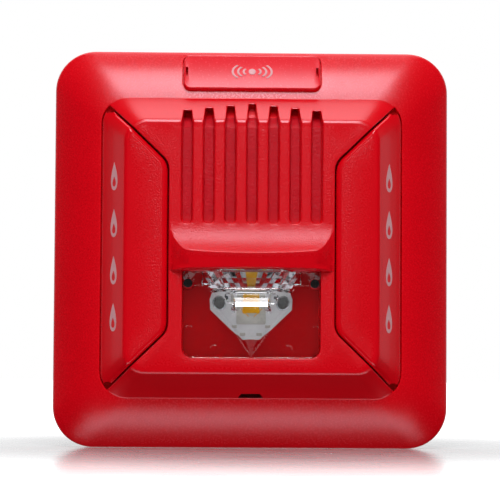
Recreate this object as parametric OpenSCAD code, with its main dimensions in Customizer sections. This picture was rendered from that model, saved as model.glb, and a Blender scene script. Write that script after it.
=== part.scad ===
// Wall horn strobe: a snap-on sounder and LED flasher head that hangs on a wall plate.
// Millimetres. +Z is up, -Y is forward, and the wall is the plane y = 0.
// Depths are given as a distance forward of the wall, so a depth f lies at y = -f.

/* [Face] */
// Width of the head across its rim
rim_w = 137; // [130:0.5:150]
// Height of the head across its rim
rim_h = 138; // [130:0.5:150]
// Corner radius of the rim
rim_r = 14; // [10:0.5:20]
// Width and height of the raised block at its foot
block_w = 103.6; // [100:0.2:106]
// Corner radius of the raised block
block_r = 9.2; // [7:0.2:12]
// Width of the block's sloping border
slope_w = 7.9; // [6:0.1:9]

/* [Depths] */
// Back edge of the rim, forward of the wall
rim_back = 2.5; // [2:0.5:5]
// Top of the rim's straight side wall
rim_edge = 12; // [10:0.5:14]
// Foot of the raised block
block_foot = 21.2; // [20:0.1:23]
// Flat front face
face_f = 30; // [28:0.5:33]
// How far the hood stands out of the face
hood_rise = 5.8; // [4:0.1:7]

/* [Openings] */
// Number of sound slots
slots = 7; // [3:2:7]
// Distance between slots
slot_pitch = 7.4; // [7:0.1:7.6]
// Width of a slot
slot_w = 3.85; // [3:0.05:4.2]
// Width of the strobe window
window_w = 47.2; // [44:0.2:48]
// Bottom of the strobe window
window_low = -38.1; // [-38.5:0.1:-36]
// Corner radius of the strobe window
window_r = 3.8; // [2:0.1:5]

/* [Wall plate] */
// Width of the wall plate
plate_w = 116; // [112:1:120]
// Thickness of the wall plate
plate_t = 2.5; // [2:0.1:3]
// Upright spacing of the single and double gang screw holes
gang_h = 83.3; // [83.3]
// Sideways spacing of the double gang screw holes
gang_w = 46; // [46]
// Hole spacing of a round or octagonal box
octagon_w = 88.9; // [88.9]
// Sideways and upright spacing of the square box screw holes
square_w = 79.4; // [79.4]
// Radius of every wall screw hole
hole_r = 2.2; // [2:0.1:2.5]

/* [Hidden] */
$fn = 48;

RED = [0.72, 0.01, 0.05];
DARK = [0.12, 0.12, 0.13];
STEEL = [0.72, 0.73, 0.75];

eps = 0.01;
wall = 2.4;                     // wall of the mouldings
gap = 0.3;                      // line gap between snap-in pieces and their pockets
half_block = block_w / 2;
crease = half_block - slope_w;  // where the sloping border ends
bend_r = 2.25;                  // rounding between border and face
bend_a = 49;                    // tilt of the border where the rounding starts
border_rise = face_f - block_foot - bend_r * (1 - cos(bend_a));
rim_steps = 7;
frame_w = rim_w / 2 - half_block;
rim_round = 0.6;                // rise of the small rounding at the rim
tub_floor = 18.6;               // floor of the legend pockets
tub_t = 1.8;                    // floor thickness of the legend pockets
well_floor = 22;                // floor behind the lens
lens_back = 27;
lens_front = 28.6;
slot_low = 7.6;                 // bottom end of the slots
scoop_r = 12.5;                 // hollow above the hood, which starts at hood_top
hood_top = 8.4;
hood_r = 178;                   // shallow bow of the hood's front
hood_half = 28;
hood_bevel = 0.84;              // rise of the bevelled ends for each millimetre inwards
hood_foot = -8.3;               // underside of the hood at the face
hood_lift = 0.16;               // how much the underside climbs for each millimetre forward
panel_x = 28.8;                 // inner edge of a legend panel
panel_z = 28.6;                 // where that edge turns outwards
panel_lean = 0.967;             // how steeply that edge then runs to the block's corner
outer_clip_x = half_block - gap - 1.1;
inner_clip_x = panel_x + 0.9;
hinge_f = 3.2;
hinge_z = 63;
hinge_x = 30;
hinge_l = 12;
pin_r = 1.4;
boss_x = 36;
boss_z = 44;
board_back = 13.4;
board_t = 1.6;
post_x = 42;
post_z = 30;
sounder_z = 23.4;
cup_r = 17;                     // outside of the sounder's cup
disc_f = 17.4;                  // back of the sounder's disc
chip_x = 37;
led_z = -19;
lens_screw_x = 21.6;
lens_screw_z = -12.5;
badge_w = 47.4;
badge_h = 14.4;                 // measured along its own slope
badge_tilt = 31.7;
badge_z = 61.25;                // centre of the badge
badge_f = 18.2;
block_x = 0;
block_z = -16;                  // centre of the terminal block
pole_pitch = 7.5;
dial_x = -15;
dip_x = 14;
switch_z = 14;
dip_pitch = 2.54;
latch_f = 3.4;
latch_z = -52.65;

// ---------- helpers ----------

// Extrudes a shape drawn in (x, z) from one depth to another
module forward(from, to) {
    rotate([90, 0, 0]) translate([0, 0, from]) linear_extrude(to - from) children();
}

// Extrudes a side profile drawn in (depth, z) from one x to another
module across(from, to) {
    rotate([90, 0, -90]) translate([0, 0, -to]) linear_extrude(to - from) children();
}

// Round peg along the depth
module peg(x, z, r, from, to) {
    rotate([90, 0, 0]) translate([x, z, from]) cylinder(r = r, h = to - from);
}

// Box from one depth to another, centred on (x, z)
module slab(x, z, w, h, from, to) {
    forward(from, to) translate([x, z]) square([w, h], center = true);
}

// Rectangle with true round corners
module rounded(w, h, r) {
    square([w - 2 * r, h], center = true);
    square([w, h - 2 * r], center = true);
    for (x = [-1, 1], z = [-1, 1]) translate([x * (w / 2 - r), z * (h / 2 - r)]) circle(r);
}

module mirrored() {
    children();
    mirror([1, 0, 0]) children();
}

function arc(cx, cz, r, from, to, n) =
    [for (i = [0:n]) let (a = from + (to - from) * i / n) [cx + r * cos(a), cz + r * sin(a)]];

// One ring of a loft: a rounded rectangle at depth f, with n steps round each corner
function ring(hw, hh, r, f, n) =
    [for (q = [0:3], i = [0:n])
        let (a = 90 * q + 90 * i / n, sx = (q == 0 || q == 3) ? 1 : -1, sz = q < 2 ? 1 : -1)
        [sx * (hw - r) + r * cos(a), -f, sz * (hh - r) + r * sin(a)]];

// Solid through a list of [half width, half height, corner radius, depth]
module loft(sections, corner_n) {
    m = 4 * (corner_n + 1);
    n = len(sections);
    points = [for (s = sections) each ring(s[0], s[1], s[2], s[3], corner_n)];
    sides = [for (k = [0:n - 2], i = [0:m - 1]) let (j = (i + 1) % m) each
        [[k * m + i, (k + 1) * m + j, k * m + j], [k * m + i, (k + 1) * m + i, (k + 1) * m + j]]];
    first = [for (i = [0:m - 1]) i];
    last = [for (i = [0:m - 1]) n * m - 1 - i];
    polyhedron(points, concat([first, last], sides));
}

// Height of the domed rim above its edge at a share u of the way in
function dome(u) =
    rim_round + (block_foot - rim_edge - rim_round) * (0.36 * u + 0.64 * (1 - pow(1 - u, 2)));

function rim_section(u, inset) =
    let (s = frame_w * u, r = rim_r + (block_r - rim_r) * u)
    [rim_w / 2 - max(s, inset), rim_h / 2 - max(s, inset) * (rim_h / 2 - half_block) / frame_w,
        max(r - inset * (1 - u), 2), rim_edge + dome(u) - inset];

// The domed rim as a solid, taken in by inset
module rim_form(inset) {
    hw = rim_w / 2 - inset;
    hh = rim_h / 2 - inset;
    r = rim_r - inset;
    soft = rim_round;
    loft(concat(
        inset > 0 ? [[hw, hh, r, -1]] : [[hw, hh, r, rim_back]],
        [[hw, hh, r, rim_edge - inset]],
        [for (i = [0:rim_steps]) rim_section(i / rim_steps, inset > 0 ? inset + eps : 0.35)]),
        inset > 1 ? 3 : 6);
}

// The raised block as a solid from a depth forwards, taken in by inset
module block_form(inset, from) {
    h = half_block - inset;
    r = block_r - inset / 2;
    loft(concat(
        [[h, h, r, from]],
        [for (i = [0:3])
            let (u = i / 3, side = h - slope_w * u)
            [side, side, r - 1.4 * u, block_foot - inset + border_rise * (0.86 * u + 0.14 * u * u)]],
        [for (i = [1:4])
            let (a = bend_a * (1 - i / 4), side = crease - inset - bend_r * (sin(bend_a) - sin(a)))
            [side, side, r - 1.4 - 0.8 * i / 4, face_f - inset - bend_r * (1 - cos(a))]]),
        inset > 1 ? 3 : 6);
}

// Side outline of the hood in (depth, z)
module hood_profile() {
    top = face_f + hood_rise;
    turn = acos(1 - hood_rise / scoop_r);
    polygon(concat(
        [[face_f - 1, hood_foot], [face_f, hood_foot], [top, hood_foot + hood_rise * hood_lift]],
        [for (i = [0:10])
            let (t = turn * (1 - i / 10))
            [face_f + scoop_r * (1 - cos(t)), hood_top - scoop_r * sin(t)]],
        [[face_f - 1, hood_top]]));
}

// Hood seen from above: a bowed front between bevelled ends
module hood_plan() {
    flat = hood_half - hood_rise / hood_bevel;
    intersection() {
        translate([0, hood_r - face_f - hood_rise]) circle(r = hood_r, $fn = 480);
        polygon([[-hood_half, 1 - face_f], [-hood_half, -face_f], [-flat, -face_f - hood_rise],
            [flat, -face_f - hood_rise], [hood_half, -face_f], [hood_half, 1 - face_f]]);
    }
}

module hood() {
    intersection() {
        across(-hood_half, hood_half) hood_profile();
        translate([0, 0, hood_foot - 1]) linear_extrude(30) hood_plan();
    }
}

// Area of the right-hand legend pocket in (x, z), grown by d
module panel_area(d) {
    x = panel_x - d;
    z = panel_z + d * 0.6;
    reach = 26;
    r = 7;
    turn = atan(panel_lean);
    // the rounded inner corner touches both the upright edge and the slanting one
    t = r * tan((90 - turn) / 2);
    c = [x + r, z - t];
    corner = arc(c[0], c[1], r, 180, 90 + turn, 6);
    upper = concat(corner, [[x + reach, z + reach * panel_lean]]);
    polygon(concat(
        [for (i = [0:len(upper) - 1]) upper[len(upper) - 1 - i]],
        [for (p = upper) [p[0], -p[1]]]));
}

// Ring of the raised block's foot, in (x, z), taken in by d
module block_area(d) { rounded(block_w - 2 * d, block_w - 2 * d, block_r - d); }

function slot_x(i) = (i - (slots - 1) / 2) * slot_pitch;

function slot_top(i) = 49.6 - 0.85 * abs(i - (slots - 1) / 2);

// One sound slot, narrower where it climbs over the sloping border
module slot_area(i) {
    end_r = 1.7;
    half = slot_w / 2;
    top_half = 1.4;
    translate([slot_x(i), 0]) polygon(concat(
        arc(half - end_r, slot_low + end_r, end_r, -90, 0, 5),
        [[half, crease - 0.5], [top_half, slot_top(i) - 0.6], [top_half - 0.6, slot_top(i)]],
        [[0.6 - top_half, slot_top(i)], [-top_half, slot_top(i) - 0.6], [-half, crease - 0.5]],
        arc(end_r - half, slot_low + end_r, end_r, 180, 270, 5)));
}

module window_area(d) {
    top = hood_foot + 1.3;
    translate([0, (top + window_low) / 2])
        rounded(window_w + 2 * d, top - window_low + 2 * d, window_r + d);
}

// Places children in the badge's own frame: x across, y up its slope, z out of it
module on_badge() {
    translate([0, -badge_f, badge_z]) rotate([90 - badge_tilt, 0, 0]) children();
}

// ---------- head ----------

module front_cover() {
    color(RED) difference() {
        union() {
            difference() {
                union() {
                    rim_form(0);
                    block_form(0, 15);
                }
                rim_form(wall);
                block_form(wall, 10);
            }
            hood();
            // tubs of the legend pockets, and the well behind the lens
            intersection() {
                union() {
                    rim_form(0.2);
                    block_form(0.2, 15);
                }
                union() {
                    mirrored() forward(tub_floor - tub_t, face_f) intersection() {
                        panel_area(gap + 1.8);
                        block_area(-2);
                    }
                    forward(well_floor - 1.8, face_f) window_area(1.8);
                    // thick pad behind the badge
                    on_badge() translate([0, 0, -4.2]) linear_extrude(4)
                        rounded(badge_w + 3, badge_h + 2, 3);
                }
            }
            for (x = [-1, 1], z = [-1, 1]) peg(x * boss_x, z * boss_z, 3.2, 8.6, 24);
            for (x = [-1, 1]) peg(x * lens_screw_x, lens_screw_z, 2, well_floor - 1, lens_back);
        }
        // legend pockets
        mirrored() forward(tub_floor, face_f + 3) intersection() {
            panel_area(gap);
            block_area(-gap / 2);
        }
        mirrored() for (z = [-28, 28]) slab(outer_clip_x, z, 2.2, 6.4, 10, tub_floor + 1);
        mirrored() for (z = [-15, 15]) slab(inner_clip_x, z, 2.2, 6.4, 10, tub_floor + 1);
        // lens well and the opening for the light source
        forward(lens_back, face_f + eps) window_area(0);
        forward(well_floor, face_f) window_area(-1.2);
        slab(0, led_z - 1, 15, 19, 15, well_floor + 1);
        for (x = [-1, 1]) peg(x * 10.8, led_z, 1.2, 15, well_floor + 1);
        // sound slots
        for (i = [0:slots - 1]) forward(block_foot, face_f + 3) slot_area(i);
        // badge recess and its clip holes
        on_badge() translate([0, 0, -1.6]) linear_extrude(6)
            rounded(badge_w + 2 * gap, badge_h + 2 * gap, 2.6);
        for (x = [-1, 1]) on_badge() translate([x * 18, 0, -8]) cube([2.2, 6.4, 16], center = true);
        // slot for the release tool, at the foot of the block
        forward(14, block_foot + 2) translate([0, -half_block + 1.2])
            polygon([[-4.2, -0.7], [4.2, -0.7], [3.2, 0.7], [-3.2, 0.7]]);
        // pilot holes
        for (x = [-1, 1], z = [-1, 1]) peg(x * boss_x, z * boss_z, 1.25, 8, 20);
        for (x = [-1, 1]) peg(x * lens_screw_x, lens_screw_z, 0.85, well_floor + 0.5, lens_back + 1);
    }
}

module legend_panel() {
    difference() {
        intersection() {
            block_form(gap, 10);
            forward(tub_floor + 0.1, face_f) panel_area(0);
        }
        intersection() {
            block_form(gap + 1.8, 10);
            forward(0, face_f) panel_area(-1.8);
        }
        // the pointed ends are cut short
        for (z = [-1, 1]) peg(half_block - 2.8, z * (half_block - 3), 1.9, 10, 40);
    }
    for (z = [-28, 28]) slab(outer_clip_x, z, 1.6, 6, tub_floor - 2.8, tub_floor + 2.4);
    for (z = [-15, 15]) slab(inner_clip_x, z, 1.6, 6, tub_floor - 2.8, tub_floor + 2.4);
}

module right_legend_panel() { color(RED) legend_panel(); }

module left_legend_panel() { color(RED) mirror([1, 0, 0]) legend_panel(); }

module badge_plate() {
    color([0.85, 0.1, 0.15]) on_badge() difference() {
        union() {
            translate([0, 0, -1.5]) linear_extrude(1.9) rounded(badge_w, badge_h, 2.4);
            for (x = [-1, 1]) translate([x * 18, 0, -2.9]) cube([1.8, 6, 3], center = true);
        }
        // prising notches at both ends
        for (x = [-1, 1]) translate([x * (badge_w / 2 - 0.9), 0, 0]) cube([0.9, 4.2, 4], center = true);
    }
}

// Closes the back of the head and carries the hooks that hang on the wall plate
module rear_cover() {
    out = 50.5;
    tray_top = 15.5;
    knuckle = 2.9;
    arm_w = hinge_l + 2;
    color([0.16, 0.16, 0.17]) difference() {
        union() {
            forward(6.5, tray_top) rounded(2 * out, 2 * out, 5);
            for (x = [-1, 1]) {
                slab(x * hinge_x, 56, arm_w, 14, 6.5, 8.5);
                across(x * hinge_x - arm_w / 2, x * hinge_x + arm_w / 2) difference() {
                    union() {
                        translate([hinge_f, hinge_z]) circle(knuckle);
                        translate([hinge_f, hinge_z - 1.6]) square([8.5 - hinge_f, 1.6 + knuckle]);
                    }
                    translate([hinge_f, hinge_z]) circle(pin_r + 0.08);
                    // opening towards the wall, so that the head lifts off and can swing
                    translate([hinge_f, hinge_z]) polygon([[0, 0], [-9, 2.4], [-9, -9], [5.2, -9]]);
                }
            }
            // catch for the release latch
            slab(0, -out - 0.5, 10, 1.2, 8, 9.5);
        }
        // the tray is hollow, with room for the front cover's screw posts
        difference() {
            forward(8.5, tray_top + 1) rounded(2 * out - 3.6, 2 * out - 3.6, 3.4);
            for (x = [-1, 1], z = [-1, 1]) peg(x * post_x, z * post_z, 2.5, 8, board_back);
        }
        for (x = [-1, 1], z = [-1, 1]) {
            peg(x * boss_x, z * boss_z, 1.5, 6, 9);
            peg(x * post_x, z * post_z, 0.95, 9, board_back + 1);
        }
        slab(block_x, block_z, 4 * pole_pitch + 2.6, 13.4, 6, 9);
        peg(dial_x, switch_z, 4.6, 6, 9);
        slab(dip_x, switch_z, 4 * dip_pitch + 0.8, 10.4, 6, 9);
    }
}

module screw(x, z, shaft_r, head_r, head_t, from, to) {
    way = to > from ? 1 : -1;
    difference() {
        union() {
            peg(x, z, shaft_r, min(from, to), max(from, to));
            peg(x, z, head_r, min(from, from - way * head_t), max(from, from - way * head_t));
        }
        for (a = [0, 90]) translate([x, -(from - way * head_t), z]) rotate([0, a, 0])
            cube([head_r * 1.2, head_t, 0.5], center = true);
    }
}

module cover_screws() {
    color(STEEL) for (x = [-1, 1], z = [-1, 1]) screw(x * boss_x, z * boss_z, 1.2, 2.6, 1.6, 6.5, 18);
}

// ---------- sounder ----------

// Ribs that back the sound slots, with sound paths between them
module horn_baffle() {
    rib_w = 2.9;
    rib_f = 25.6;
    low = 6.6;
    bend_z = 41.2;
    plate_f = 23.2;
    color(RED) difference() {
        union() {
            across(-26.4, 26.4)
                polygon([[plate_f - 1.4, low - 1.6], [plate_f, low - 1.6], [plate_f, bend_z - 0.6],
                    [plate_f - 3.6, bend_z + 3], [plate_f - 5, bend_z + 3], [plate_f - 1.4, bend_z - 0.8]]);
            for (i = [0:slots - 1]) across(slot_x(i) - rib_w / 2, slot_x(i) + rib_w / 2)
                polygon([[plate_f - 1, low], [rib_f, low], [rib_f, bend_z], [rib_f - 4.6, bend_z + 4.7],
                    [plate_f - 5, bend_z + 3], [plate_f - 1, bend_z - 1]]);
        }
        for (i = [0:slots - 2])
            slab((slot_x(i) + slot_x(i + 1)) / 2, 24.5, 2.6, 30, plate_f - 3, plate_f + 1);
    }
}

module tube(x, z, r, inner, from, to) {
    forward(from, to) translate([x, z]) difference() {
        circle(r);
        circle(inner);
    }
}

module sounder_cup() {
    color(DARK) difference() {
        union() {
            peg(0, sounder_z, cup_r, 15.1, 21.6);
            slab(0, sounder_z, 43, 8, 15.1, 16.4);
        }
        peg(0, sounder_z, cup_r - 3.4, 16.3, 22);
        peg(0, sounder_z, cup_r - 1.6, disc_f, 22);
        slab(cup_r - 1, sounder_z, 6, 4, 16.4, disc_f);
        for (x = [-1, 1]) peg(x * 19.4, sounder_z, 1, 15, 17);
    }
}

module piezo_disc() {
    color([0.83, 0.66, 0.25]) peg(0, sounder_z, cup_r - 1.9, disc_f, disc_f + 0.3);
}

module piezo_ceramic() {
    color([0.86, 0.86, 0.82]) peg(0, sounder_z, 10.5, disc_f + 0.3, disc_f + 0.55);
}

module sounder_gasket() {
    color([0.2, 0.2, 0.21]) tube(0, sounder_z, cup_r - 1.8, cup_r - 3.8, disc_f + 0.3, 19.2);
}

// Front wall of the resonating chamber, with its sound ports
module sounder_cap() {
    color(DARK) difference() {
        peg(0, sounder_z, cup_r - 1.7, 19.2, 21.6);
        peg(0, sounder_z, cup_r - 3.8, 19, 20.4);
        for (a = [0:60:300]) peg(7 * cos(a), sounder_z + 7 * sin(a), 1.6, 20, 22);
        peg(0, sounder_z, 2.2, 20, 22);
    }
}

// ---------- electronics ----------

module main_board() {
    color([0.05, 0.32, 0.15]) difference() {
        forward(board_back, board_back + board_t) rounded(92, 78, 2);
        for (x = [-1, 1], z = [-1, 1]) peg(x * post_x, z * post_z, 1.3, 10, 20);
    }
}

module board_screws() {
    color(STEEL) for (x = [-1, 1], z = [-1, 1])
        screw(x * post_x, z * post_z, 0.9, 2.2, 1.2, board_back + board_t, board_back - 3.5);
}

module storage_capacitors() {
    color([0.1, 0.11, 0.2]) for (x = [-1, 1]) translate([x * 6, -19.4, 1])
        rotate([0, x * 90, 0]) difference() {
            cylinder(r = 4, h = 15);
            translate([0, 0, 13.6]) difference() {
                cylinder(r = 4.5, h = 0.6);
                cylinder(r = 3.6, h = 0.6);
            }
        }
}

module boost_inductor() {
    color([0.25, 0.24, 0.23]) difference() {
        peg(0, -34.4, 4.2, board_back + board_t, board_back + board_t + 3.6);
        peg(0, -34.4, 1.6, board_back + board_t + 2.8, 20);
    }
}

module control_chip() {
    color(DARK) {
        slab(chip_x, 0, 9, 7, board_back + board_t + 0.3, board_back + board_t + 1.5);
        for (x = [-4:4], z = [-1, 1])
            slab(chip_x + x, z * 4, 0.4, 1.2, board_back + board_t, board_back + board_t + 0.5);
    }
}

// Insulated lead along a list of points
module lead(points, r) {
    for (i = [0:len(points) - 2]) hull() {
        translate(points[i]) sphere(r, $fn = 12);
        translate(points[i + 1]) sphere(r, $fn = 12);
    }
}

module led_leads() {
    color([0.75, 0.08, 0.06]) for (x = [-1, 1])
        lead([[x * 6, -15.7, -9.4], [x * 6, -17.5, -11.5], [x * 6, -21.4, -11.6]], 0.6);
}

module sounder_leads() {
    color([0.1, 0.1, 0.1]) for (z = [-1, 1])
        lead([[25.8, -15.5, sounder_z + z], [24.6, -16.9, sounder_z + z], [13, -16.9, sounder_z + z]],
            0.45);
}

// ---------- strobe ----------

module led_outline() {
    polygon([[-9, -8.5], [-13.2, -15], [-14.2, -17.8], [-14, -21.4], [-6.8, -28.3], [-3, -31.4],
        [3, -31.4], [6.8, -28.3], [14, -21.4], [14.2, -17.8], [13.2, -15], [9, -8.5]]);
}

module led_board() {
    color([0.9, 0.91, 0.92]) difference() {
        forward(well_floor + 0.1, well_floor + 1.6) led_outline();
        for (x = [-1, 1]) peg(x * 10.8, led_z, 1.3, 20, 30);
    }
}

module led_board_screws() {
    color([0.3, 0.3, 0.31]) for (x = [-1, 1])
        screw(x * 10.8, led_z, 0.9, 2, 1.1, well_floor + 1.6, 19.4);
}

module led_heatsink() {
    color([0.75, 0.76, 0.78]) difference() {
        union() {
            slab(0, led_z - 2, 30, 17, 17.6, 20);
            slab(0, led_z - 1.4, 14.4, 15.4, 19, well_floor + 0.1);
            for (x = [-12:4:12]) slab(x, led_z - 2, 1.2, 17, 15.1, 18);
        }
        for (x = [-1, 1]) peg(x * 10.8, led_z, 0.95, 17, 21);
    }
}

module led_base() {
    color([0.82, 0.8, 0.76]) forward(well_floor + 1.6, well_floor + 2.4)
        translate([0, led_z - 1]) rounded(9.6, 12.4, 0.6);
}

module led_phosphor() {
    color([0.95, 0.72, 0.05]) forward(well_floor + 2.4, well_floor + 2.9)
        translate([0, led_z]) rounded(5.6, 7, 0.5);
}

// Mirror above the light source, leaning forwards and widening upwards
module strobe_reflector() {
    color([0.85, 0.86, 0.88]) intersection() {
        across(-20, 20)
            polygon([[well_floor + 1.7, -13.6], [well_floor + 1.7, -12.4], [26.2, -8.4], [26.8, -8.4],
                [26.8, -9.2]]);
        forward(20, 30)
            polygon([[-14.4, -13.8], [14.4, -13.8], [18.6, -8.6], [18.6, -8.3], [-18.6, -8.3],
                [-18.6, -8.6]]);
    }
}

// Closed tapering hull over the light source, drawn between two outlines
module prow(inset) {
    front = 33.8 - inset;
    top = hood_foot - 0.35 - inset;
    hull() {
        forward(lens_back + 0.5, lens_back + 0.6)
            polygon([[-18 + inset, top], [-18 + inset, -10], [-14.8 + inset, -15.5],
                [14.8 - inset, -15.5], [18 - inset, -10], [18 - inset, top]]);
        forward(front - 0.1, front)
            polygon([[-11 + inset, top], [-9 + inset, -14.2 + inset / 2],
                [9 - inset, -14.2 + inset / 2], [11 - inset, top]]);
    }
    hull() {
        forward(lens_back + 0.5, lens_back + 0.6)
            polygon([[-14.8 + inset, -14], [-14.8 + inset, -20.6], [-1.4 + inset / 2, -36 + inset],
                [1.4 - inset / 2, -36 + inset], [14.8 - inset, -20.6], [14.8 - inset, -14]]);
        forward(31.8 - inset, 32 - inset)
            polygon([[-7 + inset, -14], [-5.5 + inset, -19], [-0.6, -24], [0.6, -24],
                [5.5 - inset, -19], [7 - inset, -14]]);
    }
}

module strobe_lens() {
    color([0.85, 0.88, 0.9, 0.35]) difference() {
        union() {
            forward(lens_back, lens_front) window_area(-0.2);
            prow(0);
        }
        difference() {
            prow(1.6);
            // horizontal lens bar across the light source
            rotate([0, 90, 0]) translate([17.6, -31.6, -20]) cylinder(r = 2.4, h = 40);
        }
        forward(lens_back - 1, lens_back + 0.8)
            polygon([[-16, hood_foot - 1.9], [-16, -11], [-13, -15.6], [-13, -20], [-1, -34],
                [1, -34], [13, -20], [13, -15.6], [16, -11], [16, hood_foot - 1.9]]);
        for (x = [-1, 1]) peg(x * lens_screw_x, lens_screw_z, 1.15, 20, 40);
    }
}

module lens_screws() {
    color([0.03, 0.03, 0.03]) for (x = [-1, 1])
        screw(x * lens_screw_x, lens_screw_z, 0.8, 1.5, 0.9, lens_front, well_floor + 1);
}

// ---------- wiring and settings, reached from behind ----------

module terminal_block() {
    w = 4 * pole_pitch + 2;
    color([0.1, 0.28, 0.16]) difference() {
        slab(block_x, block_z, w, 12.6, 3.6, board_back);
        for (i = [0:3]) {
            x = block_x + (i - 1.5) * pole_pitch;
            peg(x, block_z + 1.5, 2.6, 3, 12);
            slab(x, block_z - 3, 4.4, 8, 5.4, 11.4);
        }
    }
}

module terminal_clamps() {
    color(STEEL) for (i = [0:3]) difference() {
        slab(block_x + (i - 1.5) * pole_pitch, block_z - 1.7, 3.5, 10, 10.4, 11.2);
        peg(block_x + (i - 1.5) * pole_pitch, block_z + 1.5, 1.3, 8, 12);
    }
}

module terminal_screws() {
    color(STEEL) for (i = [0:3])
        screw(block_x + (i - 1.5) * pole_pitch, block_z + 1.5, 1.2, 2.5, 1.6, 6.4, 11.6);
}

module candela_switch() {
    color([0.1, 0.1, 0.11]) difference() {
        slab(dial_x, switch_z, 12, 12, 8.6, board_back);
        peg(dial_x, switch_z, 4.1, 8, 11.6);
    }
}

module candela_dial() {
    color([0.9, 0.9, 0.88]) difference() {
        peg(dial_x, switch_z, 4, 5.6, 11.5);
        slab(dial_x, switch_z, 5.6, 1.1, 5, 6.8);
        slab(dial_x, switch_z + 3.2, 0.6, 1, 5, 6);
    }
}

module tone_switch() {
    color([0.15, 0.2, 0.5]) difference() {
        slab(dip_x, switch_z, 4 * dip_pitch, 9.6, 8, board_back);
        for (i = [-1:1]) slab(dip_x + i * dip_pitch, switch_z, 1.5, 4.4, 7, 10.6);
    }
}

module tone_lever(i) {
    color([0.92, 0.92, 0.9])
        slab(dip_x + (i - 2) * dip_pitch, switch_z - 1.1, 1.3, 2, 7, 10.4);
}

// ---------- wall plate ----------

module mounting_plate() {
    top = 59;
    low = -58;
    color([0.2, 0.2, 0.21]) difference() {
        union() {
            forward(0, plate_t) translate([0, (top + low) / 2]) rounded(plate_w, top - low, 6);
            // hooks that the head hangs on
            for (x = [-1, 1]) across(x * hinge_x - hinge_l / 2, x * hinge_x + hinge_l / 2)
                translate([hinge_f, hinge_z]) {
                    circle(pin_r);
                    polygon([[-2.6, -7], [-0.7, -7], [-0.3, -0.5], [-1.25, -0.55], [-2.3, -2.2]]);
                }
            // stiffening ribs beside the wire opening
            for (x = [-1, 1]) slab(x * 33.5, 0, 1.6, 56, plate_t - eps, plate_t + 2);
        }
        forward(-1, plate_t + 1) rounded(57, 68, 6);
        for (z = [-1, 1]) {
            peg(0, z * gang_h / 2, hole_r, -1, 5);
            for (x = [-1, 1]) {
                peg(x * gang_w / 2, z * gang_h / 2, hole_r, -1, 5);
                peg(x * square_w / 2, z * square_w / 2, hole_r, -1, 5);
            }
        }
        for (x = [-1, 1]) peg(x * octagon_w / 2, 0, hole_r, -1, 5);
    }
}

// Spring finger that holds the bottom of the head and is pushed down by a tool
module release_latch() {
    r = 0.75;
    color([0.2, 0.2, 0.21]) across(-4.5, 4.5) {
        translate([latch_f, latch_z]) circle(r);
        polygon([[latch_f, latch_z - r], [11.9, latch_z - r], [11.9, latch_z + 0.5], [10.6, latch_z + 2],
            [9.8, latch_z + 2], [9.8, latch_z + r], [latch_f, latch_z + r]]);
    }
}

mounting_plate();
release_latch();
front_cover();
rear_cover();
cover_screws();
left_legend_panel();
right_legend_panel();
badge_plate();
horn_baffle();
sounder_cup();
sounder_gasket();
piezo_disc();
piezo_ceramic();
sounder_cap();
main_board();
board_screws();
storage_capacitors();
boost_inductor();
control_chip();
strobe_lens();
lens_screws();
strobe_reflector();
led_board();
led_base();
led_phosphor();
led_board_screws();
led_heatsink();
led_leads();
sounder_leads();
terminal_block();
terminal_clamps();
terminal_screws();
candela_switch();
candela_dial();
tone_switch();
for (i = [1:3]) tone_lever(i);
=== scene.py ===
import math

import bmesh
import bpy
import numpy as np
from mathutils import Matrix, Vector
from mathutils.geometry import delaunay_2d_cdt


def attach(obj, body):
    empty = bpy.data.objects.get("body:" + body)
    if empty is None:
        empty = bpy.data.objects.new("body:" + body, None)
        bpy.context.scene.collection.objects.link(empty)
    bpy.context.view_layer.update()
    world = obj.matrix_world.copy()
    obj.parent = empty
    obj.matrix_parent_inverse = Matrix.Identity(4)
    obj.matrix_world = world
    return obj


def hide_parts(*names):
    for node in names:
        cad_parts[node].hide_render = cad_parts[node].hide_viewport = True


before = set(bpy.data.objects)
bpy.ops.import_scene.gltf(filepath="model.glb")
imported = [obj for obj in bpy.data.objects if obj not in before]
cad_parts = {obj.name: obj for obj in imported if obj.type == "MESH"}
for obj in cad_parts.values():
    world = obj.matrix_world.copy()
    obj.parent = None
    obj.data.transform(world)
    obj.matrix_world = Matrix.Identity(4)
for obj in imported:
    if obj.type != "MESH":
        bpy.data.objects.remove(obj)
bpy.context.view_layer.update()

# Lengths below are in millimetres. A depth f is measured forward of the wall, so y = -f.
MM = 0.001
RIM_W, RIM_H, RIM_R, RIM_BACK = 68.5, 69.0, 14.0, 2.5    # rim: half width, half height, corner, back edge
DOME, FOOT = 16.7, 21.2                                  # domed border's width, and its depth at the block
BLOCK, BLOCK_R, SLOPE = 51.8, 9.2, 7.9                   # raised block: half side, corner, sloping strip
BEND_R, BEND_A, FACE = 2.25, math.radians(49), 30.0      # bend from the strip to the flat face
RISE = FACE - FOOT - BEND_R * (1 - math.cos(BEND_A))     # height of the sloping strip
# distances in from the rim: where the strip, the bend and the flat face start
S1, S2 = DOME, DOME + SLOPE
S3 = S2 + BEND_R * math.sin(BEND_A)
RIM_WALL, RIM_T, BLOCK_T, FLOOR_T = 2.2, 2.4, 4.4, 1.8   # thicknesses: rim's side, dome, block, pocket floors
# hood: top of the scoop, lower edge, half width, height above the face, scoop's radius
HOOD_TOP, HOOD_LOW, HOOD_HALF, HOOD_RISE, SCOOP_R = 8.4, -8.3, 28.9, 5.8, 12.5
WELL, TUB = 22.0, 18.6                                   # floors of the lens well and the panel pockets
SCREW_X, SCREW_Z = 21.6, -12.5                           # lens screws
# badge: depth, height and tilt of its seat, then depth and tilt of the plate itself
BADGE_F, BADGE_Z, BADGE_TILT = 17.65, 61.25, math.radians(32)
PLATE_F, PLATE_TILT = 18.2, math.radians(31.7)
BAR_Z, BAR_R = -17.6, 2.4                                # groove behind the lens's light bar: height, radius


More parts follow.
